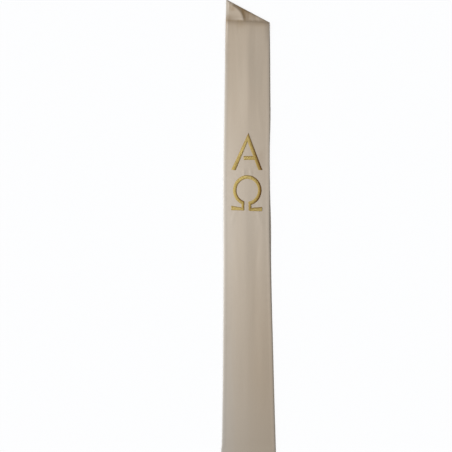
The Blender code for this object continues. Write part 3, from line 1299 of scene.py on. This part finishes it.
class GroupMaker:
    """Builds one shader node group with named inputs and outputs."""

    def __init__(self, name: str, inputs: dict[str, float], outputs: dict[str, str]) -> None:
        """Starts the group.

        Args:
            name: The group's name.
            inputs: Number inputs and the values that they start with.
            outputs: Outputs and their socket types.
        """
        self.tree = bpy.data.node_groups.new(name, "ShaderNodeTree")
        for label, value in inputs.items():
            socket = self.tree.interface.new_socket(label, in_out="INPUT", socket_type="NodeSocketFloat")
            socket.default_value = value
        for label, kind in outputs.items():
            self.tree.interface.new_socket(label, in_out="OUTPUT", socket_type=kind)
        self.entry = self.tree.nodes.new("NodeGroupInput").outputs
        self.exit = self.tree.nodes.new("NodeGroupOutput").inputs

    def node(self, kind: str, **settings: object) -> bpy.types.Node:
        """Adds a node and sets its properties.

        Args:
            kind: Blender's name of the node.
            settings: Its properties and their values.

        Returns:
            The node.
        """
        made = self.tree.nodes.new(kind)
        for label, value in settings.items():
            setattr(made, label, value)
        return made

    def link(self, source: bpy.types.NodeSocket, target: bpy.types.NodeSocket) -> None:
        """Joins two sockets."""
        self.tree.links.new(source, target)

    def feed(self, socket: bpy.types.NodeSocket, value: object) -> None:
        """Gives a socket its value.

        Args:
            socket: The input to feed.
            value: A number, or the output of another node.
        """
        if isinstance(value, bpy.types.NodeSocket):
            self.link(value, socket)
        else:
            socket.default_value = value

    def calc(self, operation: str, *values: object) -> bpy.types.NodeSocket:
        """Adds a Math node.

        Args:
            operation: Blender's name of the operation.
            values: Numbers or sockets to feed it.

        Returns:
            The node's output.
        """
        made = self.node("ShaderNodeMath", operation=operation)
        for socket, value in zip(made.inputs, values):
            self.feed(socket, value)
        return made.outputs[0]

    def ease(self, value: object, low: float, high: float) -> bpy.types.NodeSocket:
        """Adds a smooth step.

        Args:
            value: The number or socket to ease.
            low: Where the step starts.
            high: Where the step ends.

        Returns:
            The eased value, from 0 to 1.
        """
        made = self.node("ShaderNodeMapRange", interpolation_type="SMOOTHSTEP")
        self.feed(made.inputs["Value"], value)
        made.inputs["From Min"].default_value = low
        made.inputs["From Max"].default_value = high
        return made.outputs["Result"]

    def noise(
        self, stretch: tuple[float, float, float], scale: object, detail: float
    ) -> bpy.types.NodeSocket:
        """Adds noise on the object's own coordinates.

        Args:
            stretch: How much the coordinates are scaled along each axis first.
            scale: The noise's scale, a number or a socket.
            detail: How many finer layers it has.

        Returns:
            The noise, from 0 to 1.
        """
        place = self.node("ShaderNodeTexCoord")
        mapping = self.node("ShaderNodeMapping")
        mapping.inputs["Scale"].default_value = stretch
        self.link(place.outputs["Object"], mapping.inputs["Vector"])
        made = self.node("ShaderNodeTexNoise")
        self.link(mapping.outputs["Vector"], made.inputs["Vector"])
        self.feed(made.inputs["Scale"], scale)
        made.inputs["Detail"].default_value = detail
        return made.outputs["Fac"]


def weave_group() -> bpy.types.NodeTree:
    """Makes the satin weave: long floats along the stole, each tied down at a step from the next.

    Returns:
        A group that gives the weave's height, from 0 to 1, and its tone, which paints shade into its
        hollows.
    """
    crown_bend = -3.6
    tie_step = 0.375
    tone_depth = 0.5
    outputs = {"Height": "NodeSocketFloat", "Tone": "NodeSocketFloat"}
    maker = GroupMaker("satin_weave", {"Threads per metre": 3600.0, "Float": 8.0}, outputs)
    place = maker.node("ShaderNodeTexCoord")
    axes = maker.node("ShaderNodeSeparateXYZ")
    maker.link(place.outputs["Object"], axes.inputs["Vector"])
    across = maker.calc("MULTIPLY", axes.outputs["X"], maker.entry["Threads per metre"])
    thread = maker.calc("FLOOR", across)
    off_middle = maker.calc("SUBTRACT", maker.calc("FRACT", across), 0.5)
    square = maker.calc("MULTIPLY", off_middle, off_middle)
    crown = maker.calc("MULTIPLY_ADD", square, crown_bend, 1.0)
    picks = maker.calc("MULTIPLY", axes.outputs["Y"], maker.entry["Threads per metre"])
    floats = maker.calc("DIVIDE", picks, maker.entry["Float"])
    stepped = maker.calc("MULTIPLY_ADD", thread, tie_step, floats)
    from_tie = maker.calc("ABSOLUTE", maker.calc("SUBTRACT", maker.calc("FRACT", stepped), 0.5))
    bow = maker.calc("SUBTRACT", 1.0, maker.ease(from_tie, low=0.36, high=0.5))
    height = maker.calc("MULTIPLY", crown, bow)
    maker.link(height, maker.exit["Height"])
    maker.link(maker.calc("MULTIPLY_ADD", height, tone_depth, 1 - tone_depth), maker.exit["Tone"])
    return maker.tree


def variation_group() -> bpy.types.NodeTree:
    """Makes uneven dye, handling and thread: broad soft patches and fine lengthwise streaks.

    Returns:
        A group that gives the patches, the streaks and a fine grain, each from 0 to 1.
    """
    outputs = {name: "NodeSocketFloat" for name in ("Patches", "Streaks", "Grain")}
    scales = {"Patch scale": 7.0, "Streak scale": 260.0, "Grain scale": 900.0}
    maker = GroupMaker("uneven_cloth", scales, outputs)
    patches = maker.noise(stretch=(1.0, 0.45, 1.0), scale=maker.entry["Patch scale"], detail=3.0)
    streaks = maker.noise(stretch=(1.0, 0.035, 1.0), scale=maker.entry["Streak scale"], detail=2.0)
    grain = maker.noise(stretch=(1.0, 0.4, 1.0), scale=maker.entry["Grain scale"], detail=2.0)
    maker.link(maker.ease(patches, low=0.3, high=0.7), maker.exit["Patches"])
    maker.link(maker.ease(streaks, low=0.25, high=0.75), maker.exit["Streaks"])
    maker.link(grain, maker.exit["Grain"])
    return maker.tree


def twist_group() -> bpy.types.NodeTree:
    """Makes the twist of a sewing thread, read from the map along and round it.

    Returns:
        A group that gives the twist's height and a tone that paints shade into the plies' grooves, each
        from 0 to 1.
    """
    tone_depth = 0.35
    outputs = {"Height": "NodeSocketFloat", "Tone": "NodeSocketFloat"}
    maker = GroupMaker("thread_twist", {"Turns per unit": 1.3}, outputs)
    place = maker.node("ShaderNodeTexCoord")
    axes = maker.node("ShaderNodeSeparateXYZ")
    maker.link(place.outputs["UV"], axes.inputs["Vector"])
    twist = maker.entry["Turns per unit"]
    turns = maker.calc("MULTIPLY_ADD", axes.outputs["X"], twist, axes.outputs["Y"])
    wave = maker.calc("ABSOLUTE", maker.calc("SINE", maker.calc("MULTIPLY", turns, 2 * math.pi)))
    maker.link(wave, maker.exit["Height"])
    maker.link(maker.calc("MULTIPLY_ADD", wave, tone_depth, 1 - tone_depth), maker.exit["Tone"])
    return maker.tree


class MaterialMaker:
    """Builds one material round its Principled shader."""

    def __init__(self, name: str) -> None:
        """Starts the material with a Principled shader.

        Args:
            name: The material's name.
        """
        self.material = bpy.data.materials.new(name)
        self.material.use_nodes = True
        self.tree = self.material.node_tree
        self.shader = self.tree.nodes["Principled BSDF"]

    def set(self, **values: object) -> None:
        """Sets sockets of the shader, named with underscores for spaces."""
        for label, value in values.items():
            self.shader.inputs[label.replace("_", " ")].default_value = value

    def group(self, tree: bpy.types.NodeTree, **values: float) -> bpy.types.Node:
        """Places a node group.

        Args:
            tree: The group.
            values: Its own values, named with underscores for spaces.

        Returns:
            The group's node.
        """
        made = self.tree.nodes.new("ShaderNodeGroup")
        made.node_tree = tree
        for label, value in values.items():
            made.inputs[label.replace("_", " ")].default_value = value
        return made

    def blend(self, factor: bpy.types.NodeSocket, low: object, high: object) -> bpy.types.NodeSocket:
        """Adds a colour mix.

        Args:
            factor: How much of high it gives.
            low: The colour or socket at 0.
            high: The colour or socket at 1.

        Returns:
            The mixed colour.
        """
        made = self.tree.nodes.new("ShaderNodeMix")
        made.data_type = "RGBA"
        self.tree.links.new(factor, made.inputs["Factor"])
        for socket, value in ((made.inputs[6], low), (made.inputs[7], high)):
            if isinstance(value, bpy.types.NodeSocket):
                self.tree.links.new(value, socket)
            else:
                socket.default_value = (*value, 1.0)
        return made.outputs[2]

    def mark(self, name: str) -> bpy.types.NodeSocket:
        """Reads one of the mesh's own marks.

        Args:
            name: The mark's name.

        Returns:
            Its value at each point.
        """
        made = self.tree.nodes.new("ShaderNodeAttribute")
        made.attribute_name = name
        return made.outputs["Fac"]

    def ramp(self, factor: bpy.types.NodeSocket, low: float, high: float) -> bpy.types.NodeSocket:
        """Adds a map from the span of 0 to 1 to another span.

        Args:
            factor: The value to map.
            low: What 0 becomes.
            high: What 1 becomes.

        Returns:
            The mapped value.
        """
        made = self.tree.nodes.new("ShaderNodeMapRange")
        self.tree.links.new(factor, made.inputs["Value"])
        made.inputs["To Min"].default_value = low
        made.inputs["To Max"].default_value = high
        return made.outputs["Result"]

    def bump(
        self, height: bpy.types.NodeSocket, depth: float, under: object = None
    ) -> bpy.types.NodeSocket:
        """Adds a Bump node.

        Args:
            height: The height, from 0 to 1.
            depth: Its full depth in metres.
            under: The normal of a bump that this one lies on.

        Returns:
            The bumped normal.
        """
        made = self.tree.nodes.new("ShaderNodeBump")
        made.inputs["Distance"].default_value = depth
        self.tree.links.new(height, made.inputs["Height"])
        if under is not None:
            self.tree.links.new(under, made.inputs["Normal"])
        return made.outputs["Normal"]

    def plug(self, source: bpy.types.NodeSocket, label: str) -> None:
        """Joins a socket to one of the shader's inputs."""
        self.tree.links.new(source, self.shader.inputs[label])


@dataclass(frozen=True)
class SatinFinish:
    """Cream satin whose long floats give it a soft glow across the threads."""

    # The first colour is a lighter, neutral one that stands in for the satin's sheen in the light:
    # painted sheen. The second is yellower, partly real yellowing.
    painted_sheen: tuple[float, float, float] = (0.450, 0.418, 0.374)
    yellowing_against_sheen: tuple[float, float, float] = (0.474, 0.390, 0.298)
    # The next colour darkens random patches of dye and, as painted shade, the hollows of the weave.
    shade: tuple[float, float, float] = (0.430, 0.368, 0.296)
    warm: tuple[float, float, float] = (0.460, 0.385, 0.300)
    # Painted shade for the creases, the neck and the seam, then a painted highlight for the side edges.
    painted_shade_colour: tuple[float, float, float] = (0.250, 0.160, 0.072)
    edge_highlight: tuple[float, float, float] = (0.450, 0.428, 0.398)
    edge_highlight_share: float = 0.8
    patch_share: float = 0.35
    streak_share: float = 0.2
    weave_share: float = 0.2
    roughness: tuple[float, float] = (0.48, 0.56)
    specular: float = 0.85
    anisotropy: float = 0.5
    sheen: float = 0.12
    sheen_roughness: float = 0.4
    weave_depth: float = 0.00003
    slub_depth: float = 0.00003

    def build(self, weave: bpy.types.NodeTree, variation: bpy.types.NodeTree) -> bpy.types.Material:
        """Makes the material.

        Args:
            weave: The satin weave group.
            variation: The uneven cloth group.

        Returns:
            The material.
        """
        maker = MaterialMaker("cream_satin")
        maker.set(Specular_IOR_Level=self.specular, Anisotropic=self.anisotropy)
        maker.set(Sheen_Weight=self.sheen, Sheen_Roughness=self.sheen_roughness)
        threads = maker.group(weave)
        uneven = maker.group(variation)
        # Painted sheen where the mark is low, yellower where it is high, which is partly real yellowing.
        sheen_and_yellowing = maker.blend(maker.mark(SHEEN_AND_YELLOWING_NAME), self.painted_sheen, self.yellowing_against_sheen)
        patches = maker.ramp(uneven.outputs["Patches"], 0.0, self.patch_share)
        patchy = maker.blend(patches, sheen_and_yellowing, self.shade)
        streaks = maker.ramp(uneven.outputs["Streaks"], 0.0, self.streak_share)
        streaky = maker.blend(streaks, patchy, self.warm)
        # Painted shade in the weave's hollows, from its tone.
        gaps = maker.ramp(threads.outputs["Tone"], self.weave_share, 0.0)
        woven = maker.blend(gaps, streaky, self.shade)
        # Painted highlight along the side edges.
        highlighting = maker.ramp(maker.mark(EDGE_HIGHLIGHT_NAME), 0.0, self.edge_highlight_share)
        painted_light = maker.blend(highlighting, woven, self.edge_highlight)
        # Painted shade from the cloth's mark: creases, the neck and the seam.
        maker.plug(maker.blend(maker.mark(PAINTED_SHADE_NAME), painted_light, self.painted_shade_colour), "Base Color")
        maker.plug(maker.ramp(uneven.outputs["Patches"], *self.roughness), "Roughness")
        slubs = maker.bump(uneven.outputs["Streaks"], self.slub_depth)
        maker.plug(maker.bump(threads.outputs["Height"], self.weave_depth, slubs), "Normal")
        tangent = maker.tree.nodes.new("ShaderNodeTangent")
        tangent.direction_type = "UV_MAP"
        tangent.uv_map = "flat"
        maker.plug(tangent.outputs["Tangent"], "Tangent")
        return maker.material


@dataclass(frozen=True)
class ThreadFinish:
    """Thread, from a bright ply to a deep one, with its twist."""

    name: str
    bright: tuple[float, float, float]
    deep: tuple[float, float, float]
    # The colour painted where a stitch turns away from the light: painted shade.
    turned: tuple[float, float, float]
    metallic: float
    roughness: float
    roughness_spread: tuple[float, float] = (-0.05, 0.08)
    specular: float = 0.4
    sheen: float = 0.04
    sheen_roughness: float = 0.3
    deep_share: float = 0.6
    ply_share: float = 0.5
    patch_scale: float = 60.0
    streak_scale: float = 1500.0
    grain_scale: float = 2600.0
    twist_depth: float = 0.00004

    def build(self, twist: bpy.types.NodeTree, variation: bpy.types.NodeTree) -> bpy.types.Material:
        """Makes the material.

        Args:
            twist: The thread twist group.
            variation: The uneven cloth group.

        Returns:
            The material.
        """
        maker = MaterialMaker(self.name)
        maker.set(Metallic=self.metallic, Specular_IOR_Level=self.specular)
        maker.set(Sheen_Weight=self.sheen, Sheen_Roughness=self.sheen_roughness)
        plies = maker.group(twist)
        scales = {"Patch_scale": self.patch_scale, "Streak_scale": self.streak_scale}
        uneven = maker.group(variation, **scales, Grain_scale=self.grain_scale)
        deepening = maker.ramp(uneven.outputs["Grain"], 0.0, self.deep_share)
        patchy = maker.blend(deepening, self.bright, self.deep)
        # Painted shade in the grooves between the plies, from the twist's tone.
        plied = maker.blend(maker.ramp(plies.outputs["Tone"], self.ply_share, 0.0), patchy, self.deep)
        maker.plug(maker.blend(maker.mark(TURNED_NAME), plied, self.turned), "Base Color")
        smooth, rough = (self.roughness + step for step in self.roughness_spread)
        maker.plug(maker.ramp(uneven.outputs["Patches"], smooth, rough), "Roughness")
        maker.plug(maker.bump(plies.outputs["Height"], self.twist_depth), "Normal")
        return maker.material


@dataclass(frozen=True)
class FloorFinish:
    """Pale matt paper."""

    colour: tuple[float, float, float] = (0.855, 0.86, 0.87)
    fibre: tuple[float, float, float] = (0.84, 0.845, 0.855)
    roughness: float = 0.9
    specular: float = 0.1
    patch_scale: float = 2.0
    streak_scale: float = 40.0
    grain_scale: float = 700.0

    def build(self, variation: bpy.types.NodeTree) -> bpy.types.Material:
        """Makes the material.

        Args:
            variation: The uneven cloth group, placed at the scale of paper.

        Returns:
            The material.
        """
        maker = MaterialMaker("pale_paper")
        maker.set(Roughness=self.roughness, Specular_IOR_Level=self.specular)
        scales = {"Patch_scale": self.patch_scale, "Streak_scale": self.streak_scale}
        uneven = maker.group(variation, **scales, Grain_scale=self.grain_scale)
        maker.plug(maker.blend(uneven.outputs["Grain"], self.colour, self.fibre), "Base Color")
        return maker.material


class Thread(Enum):
    """The threads that the stole is sewn with, and the padding under the emblem."""

    GOLD = ThreadFinish(
        "gold_thread",
        bright=(0.575, 0.458, 0.166),
        deep=(0.50, 0.368, 0.093),
        turned=(0.18, 0.08, 0.005),
        metallic=0.05,
        roughness=0.48,
    )
    PADDING = ThreadFinish(
        "gold_padding",
        bright=(0.34, 0.21, 0.05),
        deep=(0.22, 0.13, 0.03),
        turned=(0.2, 0.1, 0.02),
        metallic=0.1,
        roughness=0.55,
    )
    CREAM = ThreadFinish(
        "cream_thread",
        bright=(0.47, 0.40, 0.31),
        deep=(0.42, 0.35, 0.26),
        turned=(0.3, 0.24, 0.17),
        metallic=0.0,
        roughness=0.5,
    )


@dataclass
class Studio:
    """Camera, lights and floor, set up after the photograph of the stole laid flat."""

    place: StolePlace
    image_side: int = 452
    pixel: float = 2.92
    axis_pixel: float = 247.0
    hem_pixel: float = 455.0
    lens: float = 100.0
    sensor: float = 36.0
    seen_depth: float = 30.0
    floor_reach: float = 6.0
    floor_drop: float = 0.0002
    light_colour: tuple[float, float, float] = (1.0, 0.995, 0.985)
    key_place: tuple[float, float, float] = (-1.35, 0.0, 0.62)
    key_aim: tuple[float, float, float] = (0.0, 0.16, 0.0)
    key_spread_deg: float = 160.0
    key_size: tuple[float, float] = (0.45, 1.6)
    key_power: float = 33.2
    wash_place: tuple[float, float, float] = (0.0, 0.0, 3.0)
    wash_angle_deg: float = 60.0
    wash_strength: float = 2.42
    fill_strength: float = 0.39
    backdrop_colour: tuple[float, float, float] = (1.0, 1.0, 1.0)
    backdrop_strength: float = 0.95

    def seen_centre(self) -> tuple[float, float]:
        """Finds the point of the floor at the middle of the picture.

        Returns:
            Its x and y in the frame's metres.
        """
        middle = self.image_side / 2
        x = (middle - self.axis_pixel) * self.pixel + self.place.axis_x
        y = (self.hem_pixel - middle) * self.pixel + self.place.hem_y
        return x * MM, y * MM

    def build_camera(self) -> bpy.types.Object:
        """Makes the camera, straight above the stole, and makes it the scene's own.

        Returns:
            The camera.
        """
        camera = bpy.data.cameras.new("camera")
        camera.lens = self.lens
        camera.sensor_width = self.sensor
        camera.clip_end = self.seen_depth
        item = add_object("camera", camera)
        x, y = self.seen_centre()
        item.location = (x, y, self.image_side * self.pixel * MM * self.lens / self.sensor)
        bpy.context.scene.camera = item
        return item

    def build_floor(self, material: bpy.types.Material) -> bpy.types.Object:
        """Makes the floor that the stole lies on.

        Args:
            material: The floor's material.

        Returns:
            The floor.
        """
        reach = self.floor_reach
        mesh = bpy.data.meshes.new("floor")
        corners = [
            (-reach, -reach, 0.0),
            (reach, -reach, 0.0),
            (reach, reach, 0.0),
            (-reach, reach, 0.0),
        ]
        mesh.from_pydata(corners, [], [(0, 1, 2, 3)])
        mesh.materials.append(material)
        floor = add_object("floor", mesh)
        floor.location.z = -self.floor_drop
        return floor

    def build_lights(self, lit: list[bpy.types.Object], floor: bpy.types.Object) -> None:
        """Makes a soft key from the left for the stole, an even wash for the floor, and the fill.

        Args:
            lit: The stole's pieces.
            floor: The floor.
        """
        key = bpy.data.lights.new("key", "AREA")
        key.shape = "RECTANGLE"
        key.size, key.size_y = self.key_size
        key.energy = self.key_power
        key.color = self.light_colour
        key.spread = math.radians(self.key_spread_deg)
        item = self.place_light(key, self.key_place, lit)
        aim = Vector(self.key_aim) - item.location
        item.rotation_euler = aim.to_track_quat("-Z", "Y").to_euler()
        wash = bpy.data.lights.new("floor_wash", "SUN")
        wash.energy = self.wash_strength
        wash.angle = math.radians(self.wash_angle_deg)
        self.place_light(wash, self.wash_place, [floor])
        world = bpy.data.worlds.new("studio")
        bpy.context.scene.world = world
        world.use_nodes = True
        tree = world.node_tree
        fill = tree.nodes["Background"]
        fill.inputs["Color"].default_value = (*self.light_colour, 1.0)
        fill.inputs["Strength"].default_value = self.fill_strength
        seen = tree.nodes.new("ShaderNodeBackground")
        seen.inputs["Color"].default_value = (*self.backdrop_colour, 1.0)
        seen.inputs["Strength"].default_value = self.backdrop_strength
        path = tree.nodes.new("ShaderNodeLightPath")
        choice = tree.nodes.new("ShaderNodeMixShader")
        tree.links.new(path.outputs["Is Camera Ray"], choice.inputs["Fac"])
        tree.links.new(fill.outputs["Background"], choice.inputs[1])
        tree.links.new(seen.outputs["Background"], choice.inputs[2])
        tree.links.new(choice.outputs["Shader"], tree.nodes["World Output"].inputs["Surface"])

    def place_light(
        self, light: bpy.types.Light, place: tuple[float, float, float], lit: list[bpy.types.Object]
    ) -> bpy.types.Object:
        """Puts a light in the scene and keeps it to the things that it is for.

        Args:
            light: The light.
            place: Where it hangs, in metres.
            lit: What it lights.

        Returns:
            The light's object.
        """
        item = add_object(light.name, light)
        item.location = place
        receivers = bpy.data.collections.new(f"{light.name}_lights")
        for thing in lit:
            receivers.objects.link(thing)
        item.light_linking.receiver_collection = receivers
        return item


def main() -> None:
    """Builds the stole round its packed halves, and the studio round the stole."""
    logging.basicConfig(level=logging.INFO, format="%(name)s: %(message)s")
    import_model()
    bpy.context.scene.view_settings.view_transform = "Standard"

    cut = StoleCut()
    place = StolePlace.from_frame(cut)
    drape = Drape(cut)
    wall = Wall()
    emblem = Emblem()
    weave, variation, twist = weave_group(), variation_group(), twist_group()
    satin = SatinFinish().build(weave, variation)
    threads = {thread: thread.value.build(twist, variation) for thread in Thread}

    back = ClothHalf(Half.BACK, cut, drape, wall, emblem, place).build()
    front_maker = ClothHalf(Half.FRONT, cut, drape, wall, emblem, place)
    front = front_maker.build()
    embroidery = Embroidery(emblem, front_maker, place)
    stitches = embroidery.build_threads()
    padding = embroidery.build_padding()
    seam = CentreSeam(embroidery, cut, wall).build()

    dressed = {front: satin, back: satin, stitches: threads[Thread.GOLD], seam: threads[Thread.CREAM]}
    dressed[padding] = threads[Thread.PADDING]
    for piece, material in dressed.items():
        piece.data.materials.append(material)
        LOG.info("%s: %d faces, %s", piece.name, len(piece.data.polygons), material.name)

    studio = Studio(place)
    floor = studio.build_floor(FloorFinish().build(variation))
    studio.build_camera()
    studio.build_lights(list(dressed), floor)

    cut.flat_area()
    cut.flat_area()


if __name__ == "__main__":
    main()
